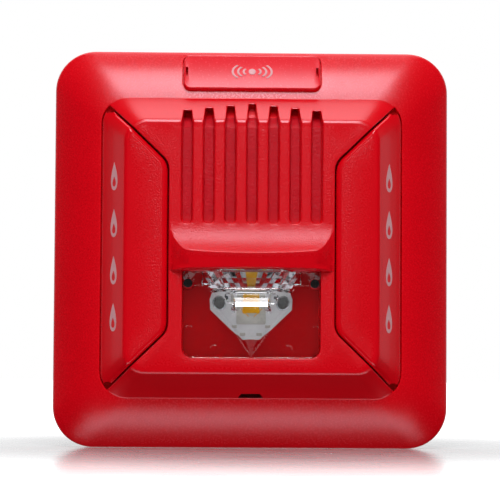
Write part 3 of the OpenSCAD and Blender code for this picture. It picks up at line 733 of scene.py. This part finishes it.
def build_lens():
    """Clear lens: the prow's height map in front, and a back that follows it."""
    low = WINDOW_LOW + 0.25
    edge = rounded(23.35, (-8.55 - low) / 2, 3.6, 8, 0, (low - 8.55) / 2)
    edge = np.concatenate([[[23.35, -8.55], [-23.35, -8.55]], edge[edge[:, 1] < -12.2]])
    edge = dense(edge, 1.0)
    holes = [arc(sx * SCREW_X, SCREW_Z, 1.15, 0, 360, 24)[:-1] for sx in (1, -1)]
    loops = [edge, grown(edge, -0.12), grown(edge, -0.35)] + holes
    lines = []
    for sx in (1, -1):
        for pts in ([(11, -8.6), (9, -14.2), (0, -14.2)], [(18, -8.6), (18, -10), (14.8, -15.6), (0, -15.6)],
                    [(6.95, -14), (5.5, -19), (0.6, -24), (0.6, -33.4), (0, -33.6)],
                    [(14.8, -14.0), (14.8, -20.6), (1.4, -36), (0, -36)]):
            p = np.array(pts, float) * [sx, 1]
            out = [p[0]]
            for a, c in zip(p, p[1:]):
                n = max(1, int(np.linalg.norm(c - a) / 0.8))
                out += list(a + (c - a) * np.linspace(0, 1, n + 1)[1:, None])
            lines.append(np.array(out))
    rows = sorted(list(np.arange(-36.0, -8.9, 0.45)) + [-20.1, -20.25, -19.95, -16.9, -17.0, -21.15])
    grid = [np.stack([np.linspace(-19, 19, 77), np.full(77, z)], -1) for z in rows]
    v, tri = triangulate(loops, lines + grid)
    mid = (v[tri[:, 0]] + v[tri[:, 1]] + v[tri[:, 2]]) / 3
    keep = inside(mid, edge)
    for g in holes:
        keep &= ~inside(mid, g)
    tri = tri[keep]
    h = prow_height(v[:, 0], v[:, 1])
    d = distance(v, edge)
    hb = np.maximum(27.0, np.minimum(h - 1.5, 60))
    bar = 31.2 - np.sqrt(np.maximum(BAR_R ** 2 - (v[:, 1] - BAR_Z) ** 2, 0))
    wide = (np.abs(v[:, 1] - BAR_Z) < BAR_R) & (hb > 29.2)
    hb = np.where(wide, np.minimum(hb, np.maximum(bar, 27.6)), hb)
    h = h - 0.3 * roll_off(np.minimum(d, 0.35), 0.35) / 0.35 * (d < 0.35)
    b = Builder()
    # the top edge follows the sloping underside of the hood
    up = np.clip((v[:, 1] + 8.95) / 0.4, 0, 1) * np.clip(h - 30, 0, 9) * 0.2
    lift = np.stack([0 * up, up], -1)
    n_f, n_b = b.points(v + lift, h), b.points(v + lift * 0.6, hb)
    b.tris(tri, n_f)
    b.tris(tri, n_b, back=True)
    b.walls(rim_of(tri), n_f, n_b)
    return b


def build_fan():
    """Folded mirror above the light source: a middle facet facing down at it, and facets fanning out."""
    low = [(1.2, 24.1), (2.2, 24.9), (3.4, 24.2), (4.9, 24.9), (6.6, 24.2), (8.8, 24.8), (11.2, 24.2),
           (13.6, 24.5)]
    top = [(2.1, 31.6), (4.0, 29.6), (5.8, 30.8), (8.0, 28.4), (10.2, 29.8), (12.6, 27.6), (14.8, 28.6),
           (17.0, 27.0)]
    low = [(-x, f) for x, f in reversed(low)] + low
    top = [(-x, f) for x, f in reversed(top)] + top
    b = Builder()
    # each facet is a hollow curve that gathers the light: (height, share of the way from low to top)
    low_z, height = -13.9, 5.15
    rows = [(low_z, 0.0), (-12.3, 0.255), (-10.6, 0.575), (-8.75, 1.0)]
    n, m = len(low), len(rows)
    for back in (0, 0.5):
        for z, k in rows:
            up = (z - low_z) / height
            b.v += [(x0 + (x1 - x0) * up, -(f0 + (f1 - f0) * k - back), z + back * 0.6)
                    for (x0, f0), (x1, f1) in zip(low, top)]
    far = m * n
    for r in range(0, far - n, n):
        for i in range(r, r + n - 1):
            b.f.append((i, i + 1, n + i + 1, n + i))
            b.f.append((far + i + 1, far + i, far + n + i, far + n + i + 1))
        b.f.append((r, r + n, far + r + n, far + r))
        b.f.append((r + 2 * n - 1, r + n - 1, far + r + n - 1, far + r + 2 * n - 1))
    for i in range(n - 1):
        b.f.append((i + 1, i, far + i, far + i + 1))
        b.f.append((far - n + i, far - n + i + 1, 2 * far - n + i + 1, 2 * far - n + i))
    return b


fan = build_fan().make("mirror_fan", 5)
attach(fan, "head")
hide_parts("strobe_reflector")
lens = build_lens().make("clear_lens", 22)
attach(lens, "head")
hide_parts("strobe_lens")


# ---------- small details on the light source board ----------

def flat_shapes(name, shapes, f0, f1, body="head"):
    """Flat pieces of the given outlines, from depth f0 to f1."""
    b = Builder()
    for g in shapes:
        g = g[::-1] if area(g) < 0 else g
        r = min(0.06, (f1 - f0) / 2)
        plate(b, g, f0, f1, r)
    o = b.make(name, 30)
    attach(o, body)
    return o


ON_BOARD = 23.58                   # where they start, just under the board's surface
minus = box_loop(-7.9, -6.0, -17.5, -17.0)
plus = np.array([[-1.1, -.2], [-.2, -.2], [-.2, -1.1], [.2, -1.1], [.2, -.2], [1.1, -.2], [1.1, .2], [.2, .2],
                 [.2, 1.1], [-.2, 1.1], [-.2, .2], [-1.1, .2]])
ticks = [band(x, z, 1.25, 1.6, a - 55, a + 55, 10) for x, z, a in
         ((-21.2, -28.4, 100), (21.8, -28.4, 80), (-12.4, -35.0, 120), (12.6, -35.0, 60))]
mould_ticks = flat_shapes("lens_moulding_ticks", ticks, 28.5, 28.85)
polarity = flat_shapes("board_polarity_marks", [minus, plus + [7.0, -17.25]], ON_BOARD, 23.64)
washers = flat_shapes("board_screw_pads", [arc(sx * 10.8, -19, 2.5, 0, 360, 36)[:-1] for sx in (1, -1)],
                      ON_BOARD, 23.66)
pads = [box_loop(sx * 6.0 - 0.7, sx * 6.0 + 0.7, z - 0.9, z + 0.9) for sx in (1, -1) for z in (-14.9, -21.4)]
solder = flat_shapes("board_solder_pads", pads, ON_BOARD, 23.72)
chip_places = [(sx * x, z) for x, z in ((5.6, -27.0), (2.6, -29.6), (11.9, -14.6)) for sx in (-1, 1)]
chips = flat_shapes("board_parts", [rounded(0.95, 0.5, 0.12, 3, x, z) for x, z in chip_places],
                    ON_BOARD, 24.0)
posts = Builder()
for sx in (1, -1):
    turned(posts, sx * SCREW_X, SCREW_Z, ((2.1, WELL - 0.3), (2.0, 26.7), (1.8, 26.95), (0.95, 26.95),
                                       (0.85, 26.7), (0.85, WELL - 0.3)), 28)
lens_bosses = posts.make("lens_screw_bosses", 35)
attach(lens_bosses, "head")


# ---------- materials ----------

def new_material(name):
    """A material with nodes, its node tree and its shader."""
    m = bpy.data.materials.new(name)
    m.use_nodes = True
    return m, m.node_tree, m.node_tree.nodes["Principled BSDF"]


def srgb(*c):
    """Colour values of 0 to 255 as Blender's linear ones."""
    return tuple((x / 12.92 if x <= 0.04045 else ((x + 0.055) / 1.055) ** 2.4) for x in (v / 255 for v in c))


PEBBLE_SCALE, PEBBLE_DEPTH = 1700, 0.2      # moulding texture: noise scale, and depth in mm


def finish_of(name, colour, dark, rough, span=0.06, scale=900.0, bump=0.15, depth_mm=0.02, metal=0.0,
              spec=0.5, coat=0.0, trans=0.0, ior=1.5, grain=False, masked=True, tint=None, emit=None):
    """Procedural finish: two noises vary the colour between dark and colour, the finer one also the
    roughness by span, and it gives a slight bump. grain adds the pebbled moulding texture, which the
    mesh's own grain attribute turns on and off where masked is true."""
    m, nt, bsdf = new_material(name)
    n, link = nt.nodes, nt.links
    src = n.new("ShaderNodeTexCoord").outputs["Object"]
    wide = n.new("ShaderNodeTexNoise")
    wide.inputs["Scale"].default_value = scale * 0.05
    wide.inputs["Detail"].default_value = 3
    fine = n.new("ShaderNodeTexNoise")
    fine.inputs["Scale"].default_value = scale
    fine.inputs["Detail"].default_value = 2
    for t in (wide, fine):
        link.new(src, t.inputs["Vector"])
    ramp = n.new("ShaderNodeValToRGB")
    ramp.color_ramp.elements[0].position, ramp.color_ramp.elements[1].position = 0.3, 0.7
    ramp.color_ramp.elements[0].color = (*srgb(*dark), 1)
    ramp.color_ramp.elements[1].color = (*srgb(*colour), 1)
    both = n.new("ShaderNodeMath")
    both.operation = "ADD"
    half = n.new("ShaderNodeMath")
    half.operation = "MULTIPLY"
    half.inputs[1].default_value = 0.5
    link.new(wide.outputs["Fac"], both.inputs[0])
    link.new(fine.outputs["Fac"], both.inputs[1])
    link.new(both.outputs[0], half.inputs[0])
    link.new(half.outputs[0], ramp.inputs["Fac"])
    link.new(ramp.outputs["Color"], bsdf.inputs["Base Color"])
    rr = n.new("ShaderNodeMapRange")
    rr.inputs["From Min"].default_value, rr.inputs["From Max"].default_value = 0.3, 0.7
    rr.inputs["To Min"].default_value, rr.inputs["To Max"].default_value = rough - span / 2, rough + span / 2
    link.new(fine.outputs["Fac"], rr.inputs["Value"])
    rough_out = rr.outputs["Result"]
    bmp = n.new("ShaderNodeBump")
    bmp.inputs["Distance"].default_value = depth_mm * MM
    bmp.inputs["Strength"].default_value = bump
    link.new(fine.outputs["Fac"], bmp.inputs["Height"])
    if grain:
        pebble = n.new("ShaderNodeTexNoise")
        pebble.inputs["Scale"].default_value = PEBBLE_SCALE
        pebble.inputs["Detail"].default_value = 3
        pebble.inputs["Roughness"].default_value = 0.6
        link.new(src, pebble.inputs["Vector"])
        amount = n.new("ShaderNodeMath")
        amount.operation = "MULTIPLY"
        amount.inputs[1].default_value = 1.0
        link.new(pebble.outputs["Fac"], amount.inputs[0])
        more = n.new("ShaderNodeMath")
        more.operation = "MULTIPLY_ADD"
        more.inputs[0].default_value, more.inputs[1].default_value = 1.0, grain
        if masked:
            at = n.new("ShaderNodeAttribute")
            at.attribute_name = "grain"
            # a negative value marks a polished edge: smoother, and with no pebble
            mask = n.new("ShaderNodeMath")
            mask.operation = "MAXIMUM"
            mask.inputs[1].default_value = 0.0
            link.new(at.outputs["Fac"], mask.inputs[0])
            link.new(mask.outputs[0], amount.inputs[1])
            link.new(at.outputs["Fac"], more.inputs[0])
        coarse = n.new("ShaderNodeBump")
        coarse.inputs["Distance"].default_value = PEBBLE_DEPTH * MM
        coarse.inputs["Strength"].default_value = 0.8
        link.new(amount.outputs[0], coarse.inputs["Height"])
        link.new(bmp.outputs["Normal"], coarse.inputs["Normal"])
        link.new(coarse.outputs["Normal"], bsdf.inputs["Normal"])
        link.new(rough_out, more.inputs[2])
        rough_out = more.outputs[0]
    else:
        link.new(bmp.outputs["Normal"], bsdf.inputs["Normal"])
    link.new(rough_out, bsdf.inputs["Roughness"])
    bsdf.inputs["Metallic"].default_value = metal
    bsdf.inputs["Specular IOR Level"].default_value = spec
    bsdf.inputs["IOR"].default_value = ior
    bsdf.inputs["Coat Weight"].default_value = coat
    bsdf.inputs["Transmission Weight"].default_value = trans
    if tint:
        bsdf.inputs["Specular Tint"].default_value = (*tint, 1)
    if emit:
        bsdf.inputs["Emission Color"].default_value = (*srgb(*emit[:3]), 1)
        bsdf.inputs["Emission Strength"].default_value = emit[3]
    return m


RED_SHEEN = (1.0, 0.84, 0.95)      # tint of the red plastic's gloss
MATS = {
    "red_plastic": finish_of("red_plastic", (240, 0, 22), (232, 0, 18), 0.25, 0.04, 1500, 0.1, 0.01,
                             grain=0.06, spec=0.6, tint=RED_SHEEN),
    "badge_plastic": finish_of("badge_plastic", (242, 2, 30), (236, 0, 25), 0.26, 0.04, 1500, 0.15, 0.01,
                               tint=RED_SHEEN),
    "dark_plastic": finish_of("dark_plastic", (30, 30, 32), (20, 20, 22), 0.48, 0.1, 1100, 0.5, 0.06),
    "clear_plastic": finish_of("clear_plastic", (253, 254, 255), (248, 251, 253), 0.012, 0.01, 300, 0.03,
                               0.004, trans=1.0, ior=1.56),
    "steel": finish_of("steel", (196, 197, 200), (150, 152, 156), 0.28, 0.14, 1500, 0.25, 0.02, metal=1.0),
    "black_steel": finish_of("black_steel", (22, 22, 24), (10, 10, 11), 0.34, 0.14, 1500, 0.3, 0.03,
                             spec=0.6),
    "brass": finish_of("brass", (214, 178, 96), (176, 138, 62), 0.3, 0.16, 900, 0.2, 0.02, metal=1.0),
    "ceramic": finish_of("ceramic", (226, 224, 214), (206, 203, 192), 0.5, 0.14, 1600, 0.3, 0.02),
    "foam": finish_of("foam", (52, 52, 55), (26, 26, 28), 0.9, 0.1, 1800, 1.0, 0.3),
    "board_green": finish_of("board_green", (22, 104, 58), (12, 66, 36), 0.34, 0.14, 420, 0.3, 0.05,
                             coat=0.3),
    "board_white": finish_of("board_white", (250, 251, 252), (236, 238, 240), 0.42, 0.12, 700, 0.25, 0.03),
    "mirror": finish_of("mirror", (236, 238, 242), (216, 219, 224), 0.13, 0.05, 500, 0.06, 0.02, metal=1.0),
    "aluminium": finish_of("aluminium", (200, 202, 206), (168, 170, 175), 0.36, 0.16, 1200, 0.35, 0.03,
                           metal=1.0),
    "capacitor_sleeve": finish_of("capacitor_sleeve", (38, 44, 74), (20, 24, 46), 0.32, 0.12, 800, 0.25,
                                  0.04),
    "ferrite": finish_of("ferrite", (58, 58, 62), (36, 36, 40), 0.6, 0.14, 1600, 0.6, 0.08),
    "led_package": finish_of("led_package", (214, 212, 202), (188, 186, 178), 0.46, 0.1, 1200, 0.3, 0.03),
    "phosphor": finish_of("phosphor", (248, 182, 2), (238, 164, 0), 0.45, 0.14, 1700, 0.35, 0.05, spec=0.2),
    "red_wire": finish_of("red_wire", (186, 20, 22), (150, 10, 12), 0.42, 0.1, 900, 0.2, 0.03),
    "black_wire": finish_of("black_wire", (28, 28, 30), (14, 14, 15), 0.42, 0.1, 900, 0.2, 0.03),
    "green_plastic": finish_of("green_plastic", (34, 128, 66), (24, 104, 52), 0.4, 0.12, 1200, 0.4, 0.05),
    "white_plastic": finish_of("white_plastic", (232, 231, 224), (214, 213, 205), 0.38, 0.1, 1200, 0.3,
                               0.04),
    "blue_plastic": finish_of("blue_plastic", (26, 62, 148), (16, 44, 116), 0.4, 0.12, 1200, 0.4, 0.05),
}
# pale pink: printed lettering on the panels, and a painted highlight on the badge's raised emblem
PALE_PRINT_AND_HIGHLIGHT = finish_of("pale_print_and_highlight", (238, 178, 184), (226, 158, 166), 0.45, 0.1, 2000, 0.4, 0.03)
INK = finish_of("grey_ink", (92, 96, 102), (70, 74, 80), 0.5, 0.1, 1800, 0.3, 0.02)

# every CAD node that stays takes the finish of its own slot
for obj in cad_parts.values():
    for sl in obj.material_slots:
        sl.material = MATS[sl.material.name.split(".")[0]]


def paint(mat, slot, *objs):
    """Gives pieces a material. slot is not used."""
    for o in objs:
        o.data.materials.clear()
        o.data.materials.append(mat)


grained_red = finish_of("red_plastic_grained", (206, 0, 28), (192, 0, 22), 0.26, 0.04, 1500, 0.1, 0.01,
                        grain=0.08, masked=False, tint=RED_SHEEN)
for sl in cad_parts["horn_baffle"].material_slots:
    sl.material = grained_red
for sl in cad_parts["led_board_screws"].material_slots:
    sl.material = MATS["black_steel"]
paint(MATS["red_plastic"], "red_plastic", slot_wall, cover, boss_piece, right_panel, left_panel, right_clips,
      left_clips, lens_bosses)
paint(MATS["badge_plastic"], "badge_plastic", badge)
# a darker copy of the red plastic: painted shade inside the lens well
well_painted_shade = finish_of("red_plastic_painted_shade", (224, 0, 10), (212, 0, 7), 0.3, 0.06, 1500, 0.1, 0.01, spec=0.08,
                     tint=RED_SHEEN)
cover.data.materials.append(well_painted_shade)
# the lens well's floor and sides take a darker, less glossy red: painted shade for the recess
for face in cover.data.polygons:
    c = face.center / MM
    if abs(c.x) < 23.61 and WINDOW_LOW - 0.01 < c.z < HOOD_LOW and -28.2 < c.y < -21.9:
        face.material_index = 1
# on the emblem this pale pink is a painted highlight; on the panel marks it stands for print
paint(PALE_PRINT_AND_HIGHLIGHT, "badge_plastic", emblem, right_marks, left_marks)
paint(MATS["clear_plastic"], "clear_plastic", lens, mould_ticks)
paint(MATS["mirror"], "mirror", fan)
paint(INK, "board_white", polarity)
paint(MATS["steel"], "steel", washers, solder)
paint(MATS["led_package"], "led_package", chips)


# ---------- floor, light and camera ----------

FLOOR_Z = -0.0691                  # just below the rim, in metres
floor_mesh = bpy.data.meshes.new("floor")
floor_mesh.from_pydata([(x, y, FLOOR_Z) for x, y in ((-4, -4), (4, -4), (4, 4), (-4, 4))], [], [(0, 1, 2, 3)])
floor = bpy.data.objects.new("floor", floor_mesh)
bpy.context.scene.collection.objects.link(floor)
floor.data.materials.append(finish_of("floor_white", (192, 192, 195), (189, 189, 192), 0.15, 0.03, 60,
                                      0.02, 0.02, emit=(255, 255, 255, 1.0)))
floor_nodes = floor.data.materials[0].node_tree
# the floor's glow fades out towards the object: a painted shadow round its foot
spot = floor_nodes.nodes.new("ShaderNodeTexCoord")
length = floor_nodes.nodes.new("ShaderNodeVectorMath")
length.operation = "LENGTH"
painted_shadow_fade = floor_nodes.nodes.new("ShaderNodeMapRange")
painted_shadow_fade.interpolation_type = "SMOOTHSTEP"
painted_shadow_fade.inputs["From Min"].default_value, painted_shadow_fade.inputs["From Max"].default_value = 0.09, 0.30
painted_shadow_fade.inputs["To Min"].default_value, painted_shadow_fade.inputs["To Max"].default_value = 0.0, 1.0
floor_nodes.links.new(spot.outputs["Object"], length.inputs[0])
floor_nodes.links.new(length.outputs["Value"], painted_shadow_fade.inputs["Value"])
floor_nodes.links.new(painted_shadow_fade.outputs["Result"],
                      floor_nodes.nodes["Principled BSDF"].inputs["Emission Strength"])
floor.visible_diffuse = False
floor.visible_glossy = False
floor.visible_shadow = False


def aim(obj, place, target, roll=0.0):
    """Puts a light or camera at place, looking at target."""
    way = Vector(target) - Vector(place)
    obj.rotation_mode = "QUATERNION"
    obj.rotation_quaternion = way.to_track_quat("-Z", "Y") @ Matrix.Rotation(roll, 3, "Z").to_quaternion()
    obj.location = place


def softbox(name, elevation, azimuth, reach, w, h, radiance):
    """Area light at a distance of reach metres, facing the object."""
    data = bpy.data.lights.new(name, "AREA")
    data.shape, data.size, data.size_y = "RECTANGLE", w, h
    data.energy = radiance * math.pi * w * h
    obj = bpy.data.objects.new(name, data)
    bpy.context.scene.collection.objects.link(obj)
    e, a = math.radians(elevation), math.radians(azimuth)
    aim(obj, Vector((math.sin(a) * math.cos(e), -math.cos(a) * math.cos(e), math.sin(e))) * reach, (0, 0, 0))


softbox("main_softbox", 48, 0, 1.25, 0.46, 0.9, 10.2)
softbox("top_softbox", 98, 0, 1.2, 0.9, 0.5, 1.9)
softbox("low_fill", -52, 0, 1.1, 1.3, 0.4, 2.6)

# white backdrop for the camera; the object is lit by a dim front and a brighter back
world = bpy.data.worlds.new("studio")
bpy.context.scene.world = world
world.use_nodes = True
wn, wl = world.node_tree.nodes, world.node_tree.links
path, tc = wn.new("ShaderNodeLightPath"), wn.new("ShaderNodeTexCoord")
sep, ramp = wn.new("ShaderNodeSeparateXYZ"), wn.new("ShaderNodeMapRange")
wl.new(tc.outputs["Generated"], sep.inputs[0])
wl.new(sep.outputs["Y"], ramp.inputs["Value"])
ramp.inputs["From Min"].default_value, ramp.inputs["From Max"].default_value = 0.0, 0.25
ramp.inputs["To Min"].default_value, ramp.inputs["To Max"].default_value = 0.03, 0.9
low = wn.new("ShaderNodeMapRange")
low.inputs["From Min"].default_value, low.inputs["From Max"].default_value = -0.6, -0.1
low.inputs["To Min"].default_value, low.inputs["To Max"].default_value = 0.1, 1.0
wl.new(sep.outputs["Z"], low.inputs["Value"])
both = wn.new("ShaderNodeMath")
both.operation = "MULTIPLY"
wl.new(ramp.outputs["Result"], both.inputs[0])
wl.new(low.outputs["Result"], both.inputs[1])
pick = wn.new("ShaderNodeMath")
pick.operation = "MAXIMUM"
wl.new(path.outputs["Is Camera Ray"], pick.inputs[0])
wl.new(both.outputs[0], pick.inputs[1])
wl.new(pick.outputs[0], wn["Background"].inputs["Strength"])
wn["Background"].inputs["Color"].default_value = (1, 1, 1, 1)
bpy.context.scene.view_settings.view_transform = "Standard"

cam = bpy.data.objects.new("camera", bpy.data.cameras.new("camera"))
bpy.context.scene.collection.objects.link(cam)
cam.data.lens, cam.data.sensor_width = 162.6, 36
cam.data.clip_start, cam.data.clip_end = 0.01, 50
az, el, reach = math.radians(-0.9), math.radians(-3.0), 0.8
target = Vector((-0.0001, 0, 0.00045))
from_target = Vector((math.sin(az) * math.cos(el), -math.cos(az) * math.cos(el), math.sin(el)))
aim(cam, target + from_target * reach, target, math.radians(0.35))
bpy.context.scene.camera = cam

bpy.context.view_layer.update()
